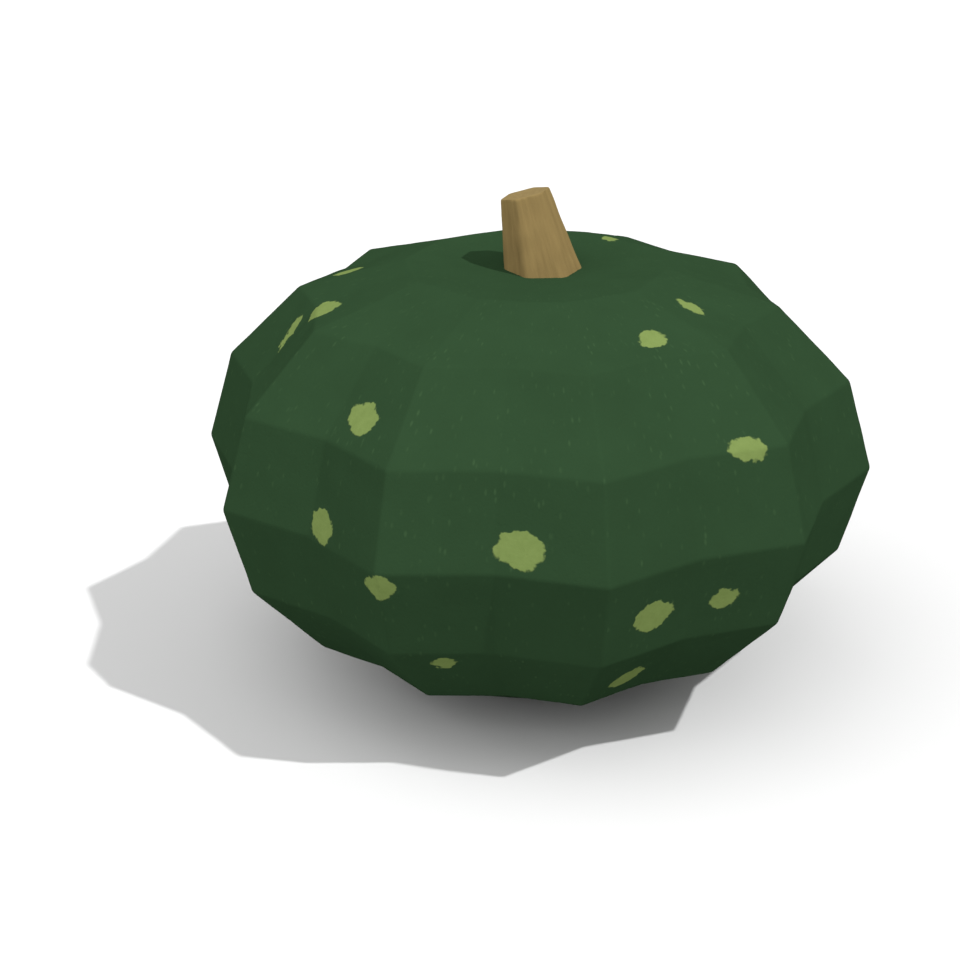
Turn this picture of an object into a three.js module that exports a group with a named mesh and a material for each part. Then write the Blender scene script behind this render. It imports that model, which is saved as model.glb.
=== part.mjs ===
// A kabocha squash: a squat fruit of ten lobes in flat facets, with a short stem that leans to one side.
// Sizes are in millimetres. +Z is up, -Y is the front, and the origin is at the middle of the foot.
import * as THREE from 'three';

// Driving dimensions of the fruit.
const fruitRadius = 90; // from the axis to a crest, where the fruit is widest
const bellyHeight = 63; // from the surface that the fruit rests on up to its widest ring
const squatness = 0.7; // height over width of the round form, before its stem end sinks in
const lobeCount = 10;
const furrowShare = 0.095; // how far a furrow lies inside the crests, as a share of their radius
const firstCrest = 9.95; // degrees from the front round to the first crest, towards +X
const ringStep = 22.5; // degrees of polar angle between two rings of corners
const hollowDepth = 12.7; // how far the stem end sinks at the axis
const hollowSpread = 39.2; // radius at which that hollow has mostly faded
const seatRadius = 13; // flat seat under the stem
const footRadius = 20; // flat ring that the fruit rests on
const scarRadius = 9; // mouth of the blossom scar
const scarDepth = 1.6;
const scarSlope = 2; // how much narrower the scar's floor is than its mouth
const facetEdge = 0.05; // share of a facet's side that the rounding of its edge takes

// Driving dimensions of the stem.
const stemSides = 6;
const stemBaseRadius = 10.35;
const stemCutRadius = 6.5;
const stemRise = 19.35; // from the seat up to the middle of the cut end
const stemFoot = new THREE.Vector2(1.8, 0.8); // middle of the base, from the fruit's axis
const stemLean = new THREE.Vector2(-4.75, 1.6); // how far the cut end stands off over the base
const stemTurn = -21.7; // degrees from the front round to the first corner of the cut end
const stemTwist = -4.5; // degrees that the base is turned further than the cut end
const stemRidgeEdge = 0.14; // share of a side that the rounding of a long edge takes
const stemRimEdge = 0.04; // the same for the rims of the base and of the cut
const seatGap = 0.3; // room between the stem and its seat

const fruitSkin = new THREE.MeshStandardMaterial({ color: 0x324c30, roughness: 0.55, metalness: 0 });
const stemCork = new THREE.MeshStandardMaterial({ color: 0x927c4e, roughness: 0.9, metalness: 0 });

// A point at a distance from the axis and a height, in the direction that lies so many degrees round from the front.
function roundFromFront(degrees, radius, height) {
  const angle = THREE.MathUtils.degToRad(degrees);
  return new THREE.Vector3(radius * Math.sin(angle), -radius * Math.cos(angle), height);
}

// Rounds each corner of a line of points. A corner becomes three points: one a short way back along the line, one
// over the corner and one a short way on. An open line keeps its two ends.
function roundCorners(points, edge, closed) {
  const weights = [
    [edge, 1 - edge, 0],
    [edge / 4, 1 - edge / 2, edge / 4],
    [0, 1 - edge, edge],
  ];
  const last = points.length - 1;
  return points.flatMap((corner, index) => {
    if (!closed && (index === 0 || index === last)) {
      return [corner];
    }
    const before = points.at(index - 1);
    const after = points[index === last ? 0 : index + 1];
    return weights.map(([back, here, on]) =>
      new THREE.Vector3()
        .addScaledVector(before, back)
        .addScaledVector(corner, here)
        .addScaledVector(after, on),
    );
  });
}

// Rounds a net of corners both ways. Its first and last rows are single points, where the surface closes.
function roundNet(rows, aroundEdge, alongEdge) {
  const rounded = rows.map((row) => (row.length > 1 ? roundCorners(row, aroundEdge, true) : row));
  const columnCount = rounded[1].length;
  const columns = Array.from({ length: columnCount }, (_, column) =>
    roundCorners(
      rounded.map((row) => row[column % row.length]),
      alongEdge,
      false,
    ),
  );
  const lastRow = columns[0].length - 1;
  return columns[0].map((_, row) =>
    row === 0 || row === lastRow ? [columns[0][row]] : columns.map((column) => column[row]),
  );
}

// A closed surface through rows of points that go round the axis from the front towards +X, the top row first.
function closedSurface(rows) {
  const points = rows.flat();
  const columnCount = rows[1].length;
  const ringCount = rows.length - 2;
  const bottom = points.length - 1;
  const at = (ring, column) => 1 + ring * columnCount + (column % columnCount);
  const faces = [];
  for (let column = 0; column < columnCount; column += 1) {
    faces.push(0, at(0, column), at(0, column + 1));
    for (let ring = 0; ring < ringCount - 1; ring += 1) {
      faces.push(at(ring, column), at(ring + 1, column), at(ring + 1, column + 1));
      faces.push(at(ring, column), at(ring + 1, column + 1), at(ring, column + 1));
    }
    faces.push(bottom, at(ringCount - 1, column + 1), at(ringCount - 1, column));
  }
  const geometry = new THREE.BufferGeometry().setFromPoints(points);
  geometry.setIndex(faces);
  geometry.computeVertexNormals();
  return geometry;
}

// Height of the round form at a polar angle. Its upper half loses the hollow round the stem.
function fruitHeight(radius, polar) {
  const roundHeight = squatness * fruitRadius * Math.cos(THREE.MathUtils.degToRad(polar));
  const hollow = polar < 90 ? hollowDepth * Math.exp(-((radius / hollowSpread) ** 2)) : 0;
  return bellyHeight + roundHeight - hollow;
}

// One ring of corners, crests and furrows in turn. The furrows run out towards both ends.
function lobedRing(radius, height) {
  const runOut = Math.min(1, (radius / fruitRadius) * Math.SQRT2) ** 1.5;
  const cornerCount = 2 * lobeCount;
  return Array.from({ length: cornerCount }, (_, corner) => {
    const depth = corner % 2 ? furrowShare * runOut : 0;
    return roundFromFront(firstCrest + (corner * 360) / cornerCount, radius * (1 - depth), height);
  });
}

function facetRing(polar) {
  const radius = fruitRadius * Math.sin(THREE.MathUtils.degToRad(polar));
  return lobedRing(radius, fruitHeight(radius, polar));
}

// The seat is as high as the hollow is at the seat's rim.
const seatPolar = THREE.MathUtils.radToDeg(Math.asin(seatRadius / fruitRadius));
const seatHeight = fruitHeight(seatRadius, seatPolar);

function makeFruit() {
  const rows = [[roundFromFront(0, 0, seatHeight)], lobedRing(seatRadius, seatHeight)];
  for (let polar = ringStep; polar < 180; polar += ringStep) {
    rows.push(facetRing(polar));
  }
  rows.push(lobedRing(footRadius, 0));
  rows.push(lobedRing(scarRadius, 0));
  rows.push(lobedRing(scarRadius - scarSlope, scarDepth));
  rows.push([roundFromFront(0, 0, scarDepth)]);
  const mesh = new THREE.Mesh(closedSurface(roundNet(rows, facetEdge, facetEdge)), fruitSkin);
  mesh.name = 'fruit';
  return mesh;
}

// The stem stands on the seat. Its base is level, and its end is cut square to the way that it leans.
function makeStem() {
  const cutTurns = Array.from({ length: stemSides }, (_, side) => stemTurn + (side * 360) / stemSides);
  const cutMiddle = new THREE.Vector3(stemLean.x, stemLean.y, stemRise);
  const cutRow = cutTurns.map((degrees) => {
    const corner = roundFromFront(degrees, stemCutRadius, 0);
    corner.z = -corner.dot(new THREE.Vector3(stemLean.x, stemLean.y, 0)) / stemRise;
    return corner.add(cutMiddle);
  });
  const baseRow = cutTurns.map((degrees) => roundFromFront(degrees + stemTwist, stemBaseRadius, 0));
  const rows = [[cutMiddle], cutRow, baseRow, [new THREE.Vector3()]];
  const mesh = new THREE.Mesh(closedSurface(roundNet(rows, stemRidgeEdge, stemRimEdge)), stemCork);
  mesh.name = 'stem';
  mesh.position.set(stemFoot.x, stemFoot.y, seatHeight + seatGap);
  return mesh;
}

const squash = new THREE.Group();
squash.add(makeFruit(), makeStem());

export default squash;
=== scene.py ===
"""A kabocha squash: a squat fruit of ten faceted lobes with pale spots, and a short leaning stem."""

import math

import bpy
import numpy as np
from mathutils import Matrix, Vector


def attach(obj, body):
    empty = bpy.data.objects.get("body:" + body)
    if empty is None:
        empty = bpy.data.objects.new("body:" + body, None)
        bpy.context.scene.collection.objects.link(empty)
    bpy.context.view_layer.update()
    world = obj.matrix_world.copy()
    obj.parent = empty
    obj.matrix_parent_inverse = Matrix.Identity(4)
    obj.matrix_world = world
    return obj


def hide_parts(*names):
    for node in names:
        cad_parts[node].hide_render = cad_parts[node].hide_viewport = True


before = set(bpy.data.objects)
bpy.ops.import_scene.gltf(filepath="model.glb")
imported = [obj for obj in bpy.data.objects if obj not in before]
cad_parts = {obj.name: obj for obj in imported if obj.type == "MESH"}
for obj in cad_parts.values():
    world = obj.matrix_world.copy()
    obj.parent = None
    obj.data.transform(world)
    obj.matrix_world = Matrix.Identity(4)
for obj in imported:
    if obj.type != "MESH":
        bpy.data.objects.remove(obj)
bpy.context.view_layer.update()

MM = 0.001

# The fruit's form, in millimetres and degrees
FRUIT_RADIUS = 90
BELLY_HEIGHT = 63
SQUATNESS = 0.7
LOBES = 10
FURROW_SHARE = 0.095
FIRST_CREST = 9.95
RING_STEP = 22.5
HOLLOW_DEPTH = 12.7
HOLLOW_SPREAD = 39.2
SEAT_RADIUS = 13
FOOT_RADIUS = 20
SCAR_RADIUS = 9
SCAR_DEPTH = 1.6
SCAR_SLOPE = 2
FACET_EDGE = 0.028  # share of a facet's side that the rounding of its edge takes
FACET_STEPS = 15  # places across the flat of a facet
EDGE_STEPS = 3  # places over half of its edge

# The stem's form
STEM_SIDES = 6
STEM_BASE_RADIUS = 10.35
STEM_CUT_RADIUS = 6.5
STEM_RISE = 19.35
STEM_FOOT = (1.8, 0.8)
STEM_LEAN = (-4.75, 1.6)
STEM_TURN = -21.7
STEM_TWIST = -4.5
SEAT_GAP = 0.3
STEM_SUNK = 0.9  # how far the stem reaches down past its base, through the gap and into the seat
STEM_RIDGE_EDGE = 0.14
STEM_RIM_EDGE = 0.025
FIBRE_RADIUS = 9.0  # the fibres' pattern is laid round a post of this radius

# Pale spots that the front shows: degrees round from the front, degrees of polar angle down from the top,
# width across the lobes, height along them, and degrees that the spot is turned
SEEN_SPOTS = (
    (140, 21.5, 5.0, 3.6, 0),
    (58, 33, 5.0, 8.0, -12),
    (32, 38.6, 7.4, 6.8, 0),
    (-76.5, 43.5, 9.5, 9.5, 0),
    (-82.2, 53.5, 3.4, 9.5, 10),
    (-104, 37, 8.5, 7.5, 0),
    (-37, 60, 10.8, 8.0, -15),
    (39, 67, 9.6, 6.4, -13),
    (-41, 86, 9.0, 7.8, -24),
    (-4, 84, 12.3, 9.3, -5),
    (-26, 94, 8.8, 7.6, 6),
    (34, 102, 7.6, 5.8, 18),
    (20, 102, 12.0, 9.0, -6),
    (-18, 117, 6.4, 5.4, 30),
    (19.5, 125.5, 9.0, 10.0, -35),
)
HIDDEN_SPOTS = 11
SPOT_SEED = 7
FAR_OFF = 50.0  # millimetres to a marking, where there is none near

# Colours, linear
RIND_GREEN = (0.0151, 0.0343, 0.0149, 1)
RIND_DARK = (0.0134, 0.0303, 0.0131, 1)
RIND_FLECK = (0.0230, 0.0480, 0.0205, 1)
SPOT_PALE = (0.1060, 0.1455, 0.0440, 1)
SPOT_DEEP = (0.0925, 0.1290, 0.0375, 1)
SCAR_TAN = (0.1000, 0.0700, 0.0340, 1)
SCAR_BROWN = (0.0420, 0.0280, 0.0140, 1)
CORK_TAN = (0.1735, 0.1245, 0.0490, 1)
CORK_BROWN = (0.1290, 0.0910, 0.0360, 1)
CUT_LIGHT = (0.1560, 0.1150, 0.0500, 1)
CUT_DARK = (0.1300, 0.0930, 0.0390, 1)
FLOOR_PALE = (0.45, 0.45, 0.45, 1)

FLECK_SPACING = 2.1  # millimetres between the rind's flecks


def from_front(degrees, radius, height):
    """Points at a distance from the axis and a height, so many degrees round from the front towards +X."""
    angle = np.radians(degrees)
    across = radius * np.sin(angle)
    back = -radius * np.cos(angle)
    return np.stack(np.broadcast_arrays(across, back, height), -1)


def rounded_line(places, corner_count, edge, closed):
    """Weights of the corners at each place along a line whose corners lie at 0, 1, 2 and so on.

    The line runs straight between corners. Near a corner it is the mean of the straight line over a
    window of plus and minus edge, which is a parabola: with s the distance past the corner, the next
    corner weighs (s + edge)^2 / (4 edge) and the one before weighs (s - edge)^2 / (4 edge)."""
    nearest = np.rint(places).astype(int)
    past = places - nearest
    after = np.where(np.abs(past) < edge, (past + edge) ** 2 / (4 * edge), np.maximum(past, 0))
    before = np.where(np.abs(past) < edge, (past - edge) ** 2 / (4 * edge), np.maximum(-past, 0))
    if not closed:
        at_end = (nearest == 0) | (nearest == corner_count - 1)
        after = np.where(at_end, np.maximum(past, 0), after)
        before = np.where(at_end, np.maximum(-past, 0), before)
    weights = np.zeros((len(places), corner_count))
    rows = np.arange(len(places))
    for offset, share in ((-1, before), (0, 1 - before - after), (1, after)):
        corner = nearest + offset
        corner = corner % corner_count if closed else np.clip(corner, 0, corner_count - 1)
        np.add.at(weights, (rows, corner), share)
    return weights


def places_along(cell_count, edge, inner, across_edge):
    """Places in each cell of a line: a few close together over each corner's rounding, the rest evenly
    between."""
    over_edge = np.linspace(0, edge, across_edge, endpoint=False)
    between = np.linspace(edge, 1 - edge, inner)
    cell = np.concatenate([over_edge, between, 1 - over_edge[:0:-1]])
    return (np.arange(cell_count)[:, None] + cell).ravel()


def waves(points, size, seed, count=24):
    """Smooth noise, roughly -1 to 1: the sum of plane waves in random directions, each about size long."""
    draw = np.random.default_rng(seed)
    direction = draw.normal(size=(count, 3))
    direction /= np.linalg.norm(direction, axis=1, keepdims=True)
    length = size * draw.uniform(0.75, 1.35, count)
    phase = draw.uniform(0, 2 * np.pi, count)
    turns = points @ (direction / length[:, None]).T * 2 * np.pi + phase
    return np.cos(turns).sum(-1) / math.sqrt(count)


def grid_normals(grid):
    """Outward unit normals of a grid that runs down its rows and closes round its columns."""
    around = np.roll(grid, -1, axis=1) - np.roll(grid, 1, axis=1)
    down = np.gradient(grid, axis=0)
    normals = np.cross(down, around)
    return normals / np.linalg.norm(normals, axis=-1, keepdims=True)


def smoothstep(value, low, high):
    """0 below low and 1 above high, with a smooth rise between."""
    share = np.clip((value - low) / (high - low), 0, 1)
    return share * share * (3 - 2 * share)


def closed_piece(name, grid, top, bottom, attributes):
    """A mesh through a grid of points in millimetres that closes round its columns, with a point at each
    end.

    attributes holds arrays for the grid's points, numbers or vectors, each with its values at the ends."""
    rows, columns = grid.shape[:2]
    points = np.concatenate([grid.reshape(-1, 3), [top, bottom]]) * MM
    index = np.arange(rows * columns).reshape(rows, columns)
    right = np.roll(index, -1, axis=1)
    quads = np.stack([index[:-1], index[1:], right[1:], right[:-1]], -1).reshape(-1, 4)
    top_fan = np.stack([np.full(columns, rows * columns), index[0], right[0]], -1)
    bottom_fan = np.stack([np.full(columns, rows * columns + 1), right[-1], index[-1]], -1)
    mesh = bpy.data.meshes.new(name)
    mesh.from_pydata(points.tolist(), [], quads.tolist() + top_fan.tolist() + bottom_fan.tolist())
    for label, (values, at_top, at_bottom) in attributes.items():
        kind, field = ("FLOAT", "value") if values.ndim == 2 else ("FLOAT_VECTOR", "vector")
        flat = np.concatenate([values.ravel(), np.ravel(at_top), np.ravel(at_bottom)]).astype(np.float32)
        mesh.attributes.new(label, kind, "POINT").data.foreach_set(field, flat)
    mesh.shade_smooth()
    mesh.update()
    piece = bpy.data.objects.new(name, mesh)
    bpy.context.scene.collection.objects.link(piece)
    return piece


def fruit_height(radius, polar):
    """Height of the round form at a polar angle. The upper half loses the hollow round the stem."""
    hollow = HOLLOW_DEPTH * np.exp(-((radius / HOLLOW_SPREAD) ** 2)) * (polar < 90)
    return BELLY_HEIGHT + SQUATNESS * FRUIT_RADIUS * np.cos(np.radians(polar)) - hollow


SEAT_POLAR = math.degrees(math.asin(SEAT_RADIUS / FRUIT_RADIUS))
SEAT_HEIGHT = float(fruit_height(SEAT_RADIUS, SEAT_POLAR))
RING_POLARS = np.arange(RING_STEP, 180, RING_STEP)


def fruit_net():
    """The fruit's corners: rows from the seat down to the scar, crests and furrows in turn round each row.

    A ring's radius is the fruit's times the sine of its polar angle. A furrow lies inside by a share of
    that, which runs out towards both ends."""
    radius = FRUIT_RADIUS * np.sin(np.radians(RING_POLARS))
    height = fruit_height(radius, RING_POLARS)
    seat = ((0, SEAT_HEIGHT), (SEAT_RADIUS, SEAT_HEIGHT))
    scar = ((SCAR_RADIUS, 0), (SCAR_RADIUS - SCAR_SLOPE, SCAR_DEPTH), (0, SCAR_DEPTH))
    profile = np.array([*seat, *zip(radius, height), (FOOT_RADIUS, 0), *scar])
    run_out = np.minimum(1, profile[:, :1] / FRUIT_RADIUS * math.sqrt(2)) ** 1.5
    corner = np.arange(2 * LOBES)
    lobed = profile[:, :1] * (1 - FURROW_SHARE * run_out * (corner % 2))
    return from_front(FIRST_CREST + corner * 180 / LOBES, lobed, profile[:, 1:])


def fruit_point(net, degrees, polar):
    """The fruit's surface, unrounded, and its directions across and along the lobes, at one place."""
    sharp = 1e-6

    def at(degrees, polar):
        around = np.array([(degrees - FIRST_CREST) * LOBES / 180 % (2 * LOBES)])
        row = np.array([1 + polar / RING_STEP])
        row_weights = rounded_line(row, len(net), sharp, False)[0]
        around_weights = rounded_line(around, 2 * LOBES, sharp, True)[0]
        return np.einsum("i,j,ijk->k", row_weights, around_weights, net)

    across = at(degrees + 1, polar) - at(degrees - 1, polar)
    along = at(degrees, polar - 1) - at(degrees, polar + 1)
    across /= np.linalg.norm(across)
    along -= across * (along @ across)
    return at(degrees, polar), across, along / np.linalg.norm(along)


def all_spots():
    """The spots seen from the front, and more of the same kind round the back, kept clear of each other."""
    clear = 24
    draw = np.random.default_rng(SPOT_SEED)
    spots = list(SEEN_SPOTS)
    while len(spots) < len(SEEN_SPOTS) + HIDDEN_SPOTS:
        degrees = draw.uniform(70, 260)
        polar = math.degrees(math.acos(draw.uniform(-0.75, 0.8)))
        girth = math.sin(math.radians(polar))
        placed = np.array(spots)
        apart = np.abs((degrees - placed[:, 0] + 180) % 360 - 180) * girth + np.abs(polar - placed[:, 1])
        if apart.min() > clear:
            width = draw.uniform(6.5, 12.5)
            height = width * draw.uniform(0.65, 0.95)
            spots.append((degrees, polar, width, height, draw.uniform(-30, 30)))
    return spots


def spot_distance(net, points):
    """Millimetres outside the nearest spot's edge, negative inside it.

    Each spot is an ellipsoid round a place on the surface. A point's share of the spot's full size is the
    root of the sum of the squares of its offsets, each over the spot's size that way, and is 0.5 at the
    edge."""
    nearest = np.full(points.shape[:-1], FAR_OFF)
    for degrees, polar, width, height, lean in all_spots():
        middle, across, along = fruit_point(net, degrees, polar)
        turn = math.radians(lean)
        wide = across * math.cos(turn) + along * math.sin(turn)
        tall = along * math.cos(turn) - across * math.sin(turn)
        out = np.cross(wide, tall)
        offset = points - middle
        shares = (offset @ wide / width) ** 2 + (offset @ tall / height) ** 2 + (offset @ out / height) ** 2
        nearest = np.minimum(nearest, (np.sqrt(shares) - 0.5) * min(width, height))
    return nearest


def make_fruit():
    """The fruit: its net of corners rounded both ways.

    The facets get a faint waviness, and the scar's floor nine ridges round a pit. The ridges are the cosine
    of nine times the angle round, which noise bends, and the pit is a bell shape."""
    net = fruit_net()
    foot_row = len(net) - 4
    mouth_row = len(net) - 3
    around = places_along(2 * LOBES, FACET_EDGE, FACET_STEPS, EDGE_STEPS)
    down = places_along(len(net) - 1, FACET_EDGE, FACET_STEPS, EDGE_STEPS)[1:]
    down_weights = rounded_line(down, len(net), FACET_EDGE, False)
    around_weights = rounded_line(around, 2 * LOBES, FACET_EDGE, True)
    grid = np.einsum("ai,bj,ijk->abk", down_weights, around_weights, net)
    radius = np.hypot(grid[..., 0], grid[..., 1])
    angle = np.arctan2(grid[..., 0], -grid[..., 1])
    under = down[:, None] > foot_row
    relief = 0.05 * waves(grid, 11, 1) * smoothstep(grid[..., 2], 0.5, 4) * ~under
    in_scar = smoothstep(SCAR_RADIUS - SCAR_SLOPE - radius, 0, 1.5) * (down[:, None] > mouth_row)
    ridges = np.cos(9 * angle + 1.2 * waves(grid, 6, 2)) * smoothstep(radius, 0.5, 4)
    pit_depth = 0.3
    relief = relief + in_scar * (0.3 * ridges - pit_depth * np.exp(-((radius / 2.2) ** 2)))
    spot = spot_distance(net, grid)
    grid = grid + grid_normals(grid) * relief[..., None]
    steps = np.diff(grid[:, :1], axis=0, prepend=grid[:1, :1])
    arc = np.cumsum(np.linalg.norm(steps, axis=-1), axis=0)
    lobe_place = from_front(np.degrees(angle), FRUIT_RADIUS, np.broadcast_to(arc, radius.shape)) * MM
    scar = np.where(under, radius - SCAR_RADIUS, FAR_OFF)
    top = (0, 0, SEAT_HEIGHT)
    bottom = (0, 0, SCAR_DEPTH + pit_depth)
    return closed_piece("squash_fruit", grid, top, bottom, {
        "spot_distance": (spot, FAR_OFF, FAR_OFF),
        "scar_distance": (scar, FAR_OFF, -SCAR_RADIUS),
        "lobe_place": (lobe_place, (0, 0, 0), (0, 0, float(arc[-1, 0]) * MM)),
    })


def make_stem():
    """The stem: a rounded six-sided post whose middle line leans.

    Corky grooves run its whole length: they are as deep as the size of a noise, without its sign, that is
    drawn out along the post. The cut end is a shallow dish with faint rings, a cosine of the distance from
    its middle."""
    side = np.arange(STEM_SIDES)
    lean = np.array([*STEM_LEAN, 0])
    cut_middle = np.array([*STEM_LEAN, STEM_RISE])
    cut = from_front(STEM_TURN + side * 360 / STEM_SIDES, STEM_CUT_RADIUS, 0.0)
    cut[:, 2] = -(cut @ lean) / STEM_RISE
    cut = cut + cut_middle
    base = from_front(STEM_TURN + STEM_TWIST + side * 360 / STEM_SIDES, STEM_BASE_RADIUS, 0.0)
    reach = 1 + STEM_SUNK / STEM_RISE
    middle = cut_middle * (1 - reach)
    net = np.stack([cut * 0 + cut_middle, cut, cut + (base - cut) * reach, cut * 0 + middle])
    around = places_along(STEM_SIDES, STEM_RIDGE_EDGE, 24, 5)
    down = np.concatenate([
        np.linspace(0.04, 1 - STEM_RIM_EDGE, 20),
        1 + STEM_RIM_EDGE * np.linspace(-0.75, 1, 8),
        np.linspace(1 + STEM_RIM_EDGE, 2, 70)[1:],
        [2.5],
    ])
    down_weights = rounded_line(down, len(net), STEM_RIM_EDGE, False)
    around_weights = rounded_line(around, STEM_SIDES, STEM_RIDGE_EDGE, True)
    grid = np.einsum("ai,bj,ijk->abk", down_weights, around_weights, net)
    length = np.clip(down, 1, 2)[:, None] - 1
    centre = cut_middle * (1 - length[..., None]) + middle * length[..., None]
    out = grid - centre
    angle = np.arctan2(out[..., 0], -out[..., 1])
    on_side = smoothstep(down, 0.985, 1.03)[:, None] * (down[:, None] <= 2)
    on_cut = 1 - smoothstep(down, 0.9, 1.0)[:, None]
    ring = from_front(np.degrees(angle), FIBRE_RADIUS, length * STEM_RISE * 0.16)
    grooves = -np.abs(waves(ring, 3.4, 11)) * 0.12 - np.abs(waves(ring, 1.7, 12)) * 0.06
    swell = 0.06 * waves(grid, 7, 13)
    across = np.linalg.norm(out, axis=-1)
    rings = 0.04 * np.cos(across * 2 * np.pi / 1.5 + 0.8 * waves(grid, 5, 14))
    rings = rings + 0.05 * waves(grid, 1.6, 15)
    dish = -0.2 * (1 - (across / STEM_CUT_RADIUS) ** 2)
    side_relief = (0.1 + grooves + swell) * on_side
    cut_relief = (rings + dish) * on_cut
    grid = grid + grid_normals(grid) * (side_relief + cut_relief)[..., None]
    fibre = from_front(np.degrees(angle), FIBRE_RADIUS, length * STEM_RISE) * MM
    fibre = np.where((down < 1)[:, None, None], grid * MM, fibre)
    cut_share = np.broadcast_to(1 - smoothstep(down, 0.97, 1.01)[:, None], angle.shape)
    place = np.array([*STEM_FOOT, SEAT_HEIGHT + SEAT_GAP])
    top = cut_middle + place - (0, 0, 0.18)
    return closed_piece("squash_stem", grid + place, top, middle + place, {
        "fibre_place": (fibre, cut_middle * MM, middle * MM),
        "cut_share": (cut_share, 1, 0),
        "groove_depth": (-grooves * on_side, 0, 0),
    })


def add(tree, kind, inputs=None, **settings):
    """Adds a node with its settings. An input is a number, a colour or another node's output."""
    made = tree.nodes.new(kind)
    for name, value in settings.items():
        setattr(made, name, value)
    for name, value in (inputs or {}).items():
        if isinstance(value, bpy.types.NodeSocket):
            tree.links.new(value, made.inputs[name])
        else:
            made.inputs[name].default_value = value
    return made


def calculate(tree, operation, first, second=0.0, third=0.0):
    """One sum on numbers."""
    return add(tree, "ShaderNodeMath", {0: first, 1: second, 2: third}, operation=operation).outputs[0]


def attribute(tree, name, output):
    return add(tree, "ShaderNodeAttribute", attribute_name=name).outputs[output]


def mix_rgba(tree, share, first, second):
    """Two colours mixed. A Mix node's colour sockets share their names with its number sockets, so they
    are taken by their place."""
    mixed = tree.nodes.new("ShaderNodeMix")
    mixed.data_type = "RGBA"
    sockets = {"Factor": mixed.inputs[0], "A": mixed.inputs[6], "B": mixed.inputs[7]}
    for name, value in (("Factor", share), ("A", first), ("B", second)):
        if isinstance(value, bpy.types.NodeSocket):
            tree.links.new(value, sockets[name])
        else:
            sockets[name].default_value = value
    return mixed.outputs[2]


def soft_step(tree, value, zero_at, one_at):
    """0 at one value and 1 at the other, with a smooth rise between."""
    ends = {"Value": value, "From Min": zero_at, "From Max": one_at}
    return add(tree, "ShaderNodeMapRange", ends, interpolation_type="SMOOTHSTEP").outputs["Result"]


def new_group(name, inputs, outputs):
    """A node group with named sockets. Returns its tree, its inputs by name and its output node."""
    tree = bpy.data.node_groups.new(name, "ShaderNodeTree")
    kinds = {"number": "NodeSocketFloat", "vector": "NodeSocketVector", "colour": "NodeSocketColor"}
    for label, kind in inputs.items():
        tree.interface.new_socket(label, in_out="INPUT", socket_type=kinds[kind])
    for label, kind in outputs.items():
        tree.interface.new_socket(label, in_out="OUTPUT", socket_type=kinds[kind])
    return tree, tree.nodes.new("NodeGroupInput").outputs, tree.nodes.new("NodeGroupOutput")


def mottle_group():
    """Two colours mixed by soft noise. Size is the mottling's, in millimetres, and Contrast sharpens it."""
    tree, given, out = new_group(
        "mottle",
        {"Place": "vector", "Size": "number", "Contrast": "number", "Dark": "colour", "Light": "colour"},
        {"Colour": "colour", "Share": "number"},
    )
    scale = calculate(tree, "DIVIDE", 1 / MM, given["Size"])
    noise = add(tree, "ShaderNodeTexNoise", {
        "Vector": given["Place"],
        "Scale": scale,
        "Detail": 3.0,
        "Roughness": 0.6,
    })
    centred = calculate(tree, "SUBTRACT", noise.outputs["Fac"], 0.5)
    share = calculate(tree, "MULTIPLY_ADD", centred, given["Contrast"], 0.5)
    share = add(tree, "ShaderNodeClamp", {"Value": share}).outputs[0]
    tree.links.new(mix_rgba(tree, share, given["Dark"], given["Light"]), out.inputs["Colour"])
    tree.links.new(share, out.inputs["Share"])
    return tree


def ragged_edge_group():
    """A mask that is 1 inside an edge. Noise moves the edge by up to Reach, and Blur is how soft it is,
    all in millimetres."""
    tree, given, out = new_group(
        "ragged edge",
        {"Distance": "number", "Place": "vector", "Size": "number", "Reach": "number", "Blur": "number"},
        {"Mask": "number"},
    )
    scale = calculate(tree, "DIVIDE", 1 / MM, given["Size"])
    noise = add(tree, "ShaderNodeTexNoise", {
        "Vector": given["Place"],
        "Scale": scale,
        "Detail": 2.5,
        "Roughness": 0.65,
    })
    centred = calculate(tree, "SUBTRACT", noise.outputs["Fac"], 0.5)
    twice = calculate(tree, "MULTIPLY", given["Reach"], 2.0)
    moved = calculate(tree, "MULTIPLY_ADD", centred, twice, given["Distance"])
    inside = calculate(tree, "DIVIDE", moved, given["Blur"])
    tree.links.new(soft_step(tree, inside, 0.5, -0.5), out.inputs["Mask"])
    return tree


def pores_group():
    """Height in millimetres of a skin with fine grain and small round pits. Size is the pits' spacing."""
    tree, given, out = new_group(
        "pores",
        {"Place": "vector", "Size": "number", "Pit": "number", "Grain": "number"},
        {"Height": "number", "Pits": "number"},
    )
    scale = calculate(tree, "DIVIDE", 1 / MM, given["Size"])
    spread = {"Vector": given["Place"], "Scale": scale, "Randomness": 1.0}
    cells = add(tree, "ShaderNodeTexVoronoi", spread, feature="SMOOTH_F1")
    pits = soft_step(tree, cells.outputs["Distance"], 0.34, 0.06)
    noise = add(tree, "ShaderNodeTexNoise", {
        "Vector": given["Place"],
        "Scale": calculate(tree, "MULTIPLY", scale, 1.7),
        "Detail": 4.0,
        "Roughness": 0.6,
    })
    grain = calculate(tree, "MULTIPLY", noise.outputs["Fac"], given["Grain"])
    deep = calculate(tree, "MULTIPLY", pits, given["Pit"])
    tree.links.new(calculate(tree, "SUBTRACT", grain, deep), out.inputs["Height"])
    tree.links.new(pits, out.inputs["Pits"])
    return tree


MOTTLE = mottle_group()
RAGGED_EDGE = ragged_edge_group()
PORES = pores_group()


def place_group(tree, group, inputs):
    return add(tree, "ShaderNodeGroup", inputs, node_tree=group).outputs


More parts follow.
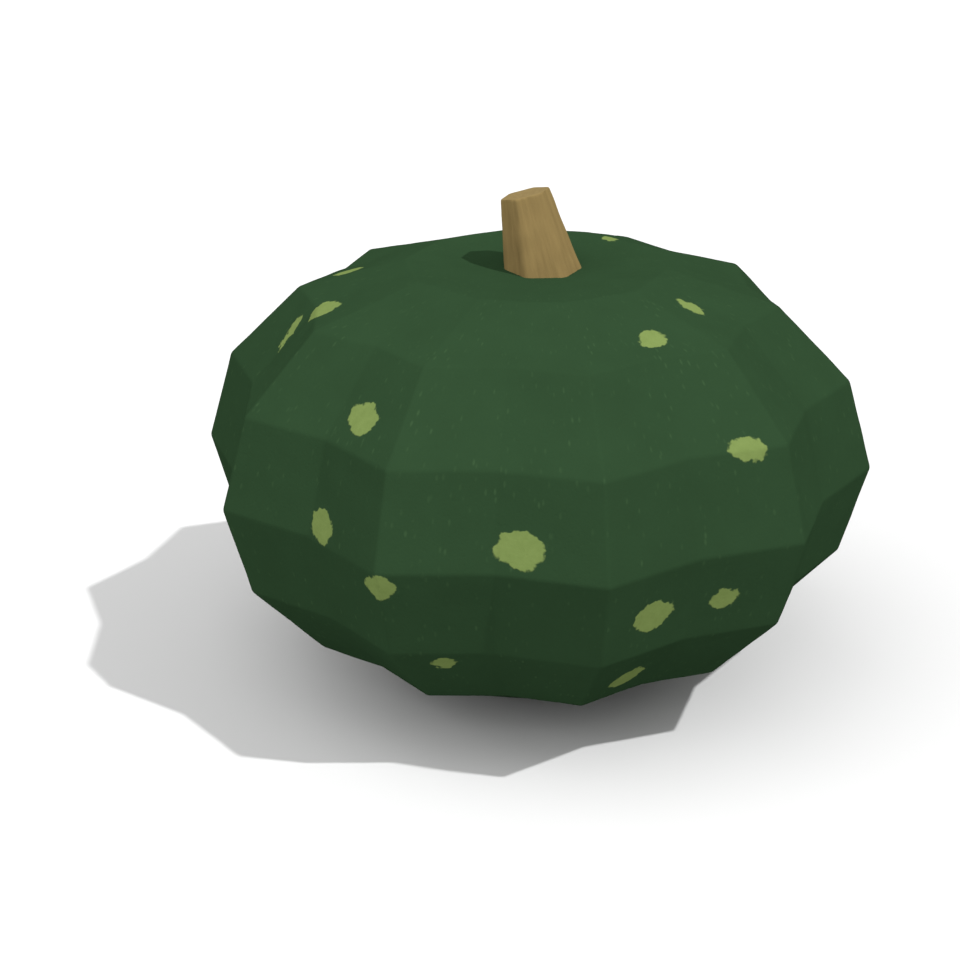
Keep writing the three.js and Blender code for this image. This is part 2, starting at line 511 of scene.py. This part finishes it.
def new_material(name):
    """A material with an empty Principled shader. Returns the material, its tree and the shader."""
    material = bpy.data.materials.new(name)
    material.use_nodes = True
    return material, material.node_tree, material.node_tree.nodes["Principled BSDF"]


def drawn_along(tree, place, share):
    """A place whose way along the piece is shortened to a share, which draws a pattern out that way."""
    inputs = {0: place, 1: (1, 1, share)}
    return add(tree, "ShaderNodeVectorMath", inputs, operation="MULTIPLY").outputs[0]


def finish_matte(tree, shader, colour, rough, height):
    """Links colour, roughness and a relief in millimetres to a shader with no gloss."""
    bump = add(tree, "ShaderNodeBump", {"Height": height, "Distance": MM, "Strength": 1.0})
    tree.links.new(colour, shader.inputs["Base Color"])
    tree.links.new(rough, shader.inputs["Roughness"])
    tree.links.new(bump.outputs["Normal"], shader.inputs["Normal"])
    shader.inputs["Specular IOR Level"].default_value = 0.0


def rind_material():
    """Dark green rind: soft mottling, fine pale flecks drawn out along the lobes, ragged pale spots and a
    corky scar."""
    material, tree, shader = new_material("rind")
    place = add(tree, "ShaderNodeTexCoord").outputs["Object"]
    along = attribute(tree, "lobe_place", "Vector")
    drawn_out = drawn_along(tree, along, 0.45)

    green = place_group(tree, MOTTLE, {
        "Place": place,
        "Size": 14.0,
        "Contrast": 1.5,
        "Dark": RIND_DARK,
        "Light": RIND_GREEN,
    })
    scattered = {"Vector": drawn_out, "Scale": 1 / (FLECK_SPACING * MM), "Randomness": 1.0}
    flecks = add(tree, "ShaderNodeTexVoronoi", scattered)
    fleck = soft_step(tree, flecks.outputs["Distance"], 0.24, 0.08)
    patchy = place_group(tree, MOTTLE, {"Place": place, "Size": 9.0, "Contrast": 4.0})["Share"]
    fleck = calculate(tree, "MULTIPLY", calculate(tree, "MULTIPLY", fleck, patchy), 0.7)
    colour = mix_rgba(tree, fleck, green["Colour"], RIND_FLECK)

    spot = place_group(tree, RAGGED_EDGE, {
        "Distance": attribute(tree, "spot_distance", "Fac"),
        "Place": place,
        "Size": 3.2,
        "Reach": 1.9,
        "Blur": 0.55,
    })["Mask"]
    pale = place_group(tree, MOTTLE, {
        "Place": place,
        "Size": 2.2,
        "Contrast": 2.0,
        "Dark": SPOT_DEEP,
        "Light": SPOT_PALE,
    })["Colour"]
    colour = mix_rgba(tree, spot, colour, pale)

    scar = place_group(tree, RAGGED_EDGE, {
        "Distance": attribute(tree, "scar_distance", "Fac"),
        "Place": place,
        "Size": 2.8,
        "Reach": 2.2,
        "Blur": 1.0,
    })["Mask"]
    tan = place_group(tree, MOTTLE, {
        "Place": place,
        "Size": 1.3,
        "Contrast": 3.0,
        "Dark": SCAR_BROWN,
        "Light": SCAR_TAN,
    })["Colour"]
    colour = mix_rgba(tree, scar, colour, tan)

    skin = place_group(tree, PORES, {"Place": place, "Size": 1.5, "Pit": 0.02, "Grain": 0.035})
    raised = calculate(tree, "MULTIPLY_ADD", spot, 0.06, skin["Height"])
    rough = calculate(tree, "MULTIPLY_ADD", skin["Pits"], 0.12, 0.56)
    rough = calculate(tree, "MULTIPLY_ADD", scar, 0.3, rough)
    finish_matte(tree, shader, colour, rough, raised)
    return material


def cork_material():
    """Dry corky stem: tan with brown grooves and fine fibres along it, and a mottled cut end."""
    material, tree, shader = new_material("cork")
    place = add(tree, "ShaderNodeTexCoord").outputs["Object"]
    along = attribute(tree, "fibre_place", "Vector")
    drawn_out = drawn_along(tree, along, 0.12)

    fibres = place_group(tree, MOTTLE, {
        "Place": drawn_out,
        "Size": 1.1,
        "Contrast": 1.4,
        "Dark": CORK_BROWN,
        "Light": CORK_TAN,
    })
    groove = calculate(tree, "MULTIPLY", attribute(tree, "groove_depth", "Fac"), 2.2)
    groove = add(tree, "ShaderNodeClamp", {"Value": groove}).outputs[0]
    colour = mix_rgba(tree, groove, fibres["Colour"], CORK_BROWN)

    cut = attribute(tree, "cut_share", "Fac")
    end = place_group(tree, MOTTLE, {
        "Place": place,
        "Size": 1.6,
        "Contrast": 2.0,
        "Dark": CUT_DARK,
        "Light": CUT_LIGHT,
    })["Colour"]
    colour = mix_rgba(tree, cut, colour, end)

    grain = place_group(tree, PORES, {"Place": drawn_out, "Size": 0.8, "Pit": 0.02, "Grain": 0.07})["Height"]
    end_grain = place_group(tree, PORES, {"Place": place, "Size": 0.7, "Pit": 0.05, "Grain": 0.06})["Height"]
    height = add(tree, "ShaderNodeMix", {"Factor": cut, "A": grain, "B": end_grain}).outputs[0]
    rough = calculate(tree, "MULTIPLY_ADD", fibres["Share"], -0.08, 0.92)
    finish_matte(tree, shader, colour, rough, height)
    return material


def make_floor():
    """A plain pale floor, far wider than any view of the squash."""
    half = 6.0
    corners = [(-half, -half, 0), (half, -half, 0), (half, half, 0), (-half, half, 0)]
    mesh = bpy.data.meshes.new("floor")
    mesh.from_pydata(corners, [], [(0, 1, 2, 3)])
    material, _, shader = new_material("floor")
    shader.inputs["Base Color"].default_value = FLOOR_PALE
    shader.inputs["Roughness"].default_value = 0.9
    shader.inputs["Specular IOR Level"].default_value = 0.0
    mesh.materials.append(material)
    floor = bpy.data.objects.new("floor", mesh)
    bpy.context.scene.collection.objects.link(floor)


SKY_STRENGTH = 0.82
KEY_LIGHT = {"round": 56, "up": 54.5, "spread": 1.3, "strength": 3.9}
FILL_LIGHT = {"round": -45, "up": 48, "spread": 80, "strength": 2.9}


def make_lamp(name, light):
    """A far light, so many degrees round from the front, up from the floor, and across."""
    lamp = bpy.data.lights.new(name, "SUN")
    lamp.energy = light["strength"]
    lamp.angle = math.radians(light["spread"])
    up = math.radians(light["up"])
    towards = from_front(light["round"], math.cos(up), math.sin(up))
    placed = bpy.data.objects.new(name, lamp)
    placed.rotation_euler = Vector(towards).to_track_quat("Z", "Y").to_euler()
    bpy.context.scene.collection.objects.link(placed)


def make_sky():
    """An even white sky."""
    world = bpy.data.worlds.new("sky")
    world.use_nodes = True
    sky = world.node_tree.nodes["Background"]
    sky.inputs["Color"].default_value = (1, 1, 1, 1)
    sky.inputs["Strength"].default_value = SKY_STRENGTH
    bpy.context.scene.world = world


CAMERA_PLACE = (-0.0146, -0.5316, 0.2716)
CAMERA_DOWN = 22.24  # degrees
CAMERA_LENS = 79.0
SENSOR = 36.0


def make_camera():
    """The photograph's view: from the front and a little to the left, looking down."""
    data = bpy.data.cameras.new("camera")
    data.sensor_width = SENSOR
    data.lens = CAMERA_LENS
    camera = bpy.data.objects.new("camera", data)
    camera.location = CAMERA_PLACE
    camera.rotation_euler = (math.radians(90 - CAMERA_DOWN), 0, 0)
    bpy.context.scene.collection.objects.link(camera)
    bpy.context.scene.camera = camera


make_camera()
make_lamp("key", KEY_LIGHT)
make_lamp("fill", FILL_LIGHT)
make_sky()
make_floor()
bpy.context.scene.view_settings.view_transform = "Standard"

fruit = make_fruit()
fruit.data.materials.append(rind_material())
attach(fruit, "root")
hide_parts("fruit")

stem = make_stem()
stem.data.materials.append(cork_material())
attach(stem, "root")
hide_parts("stem")
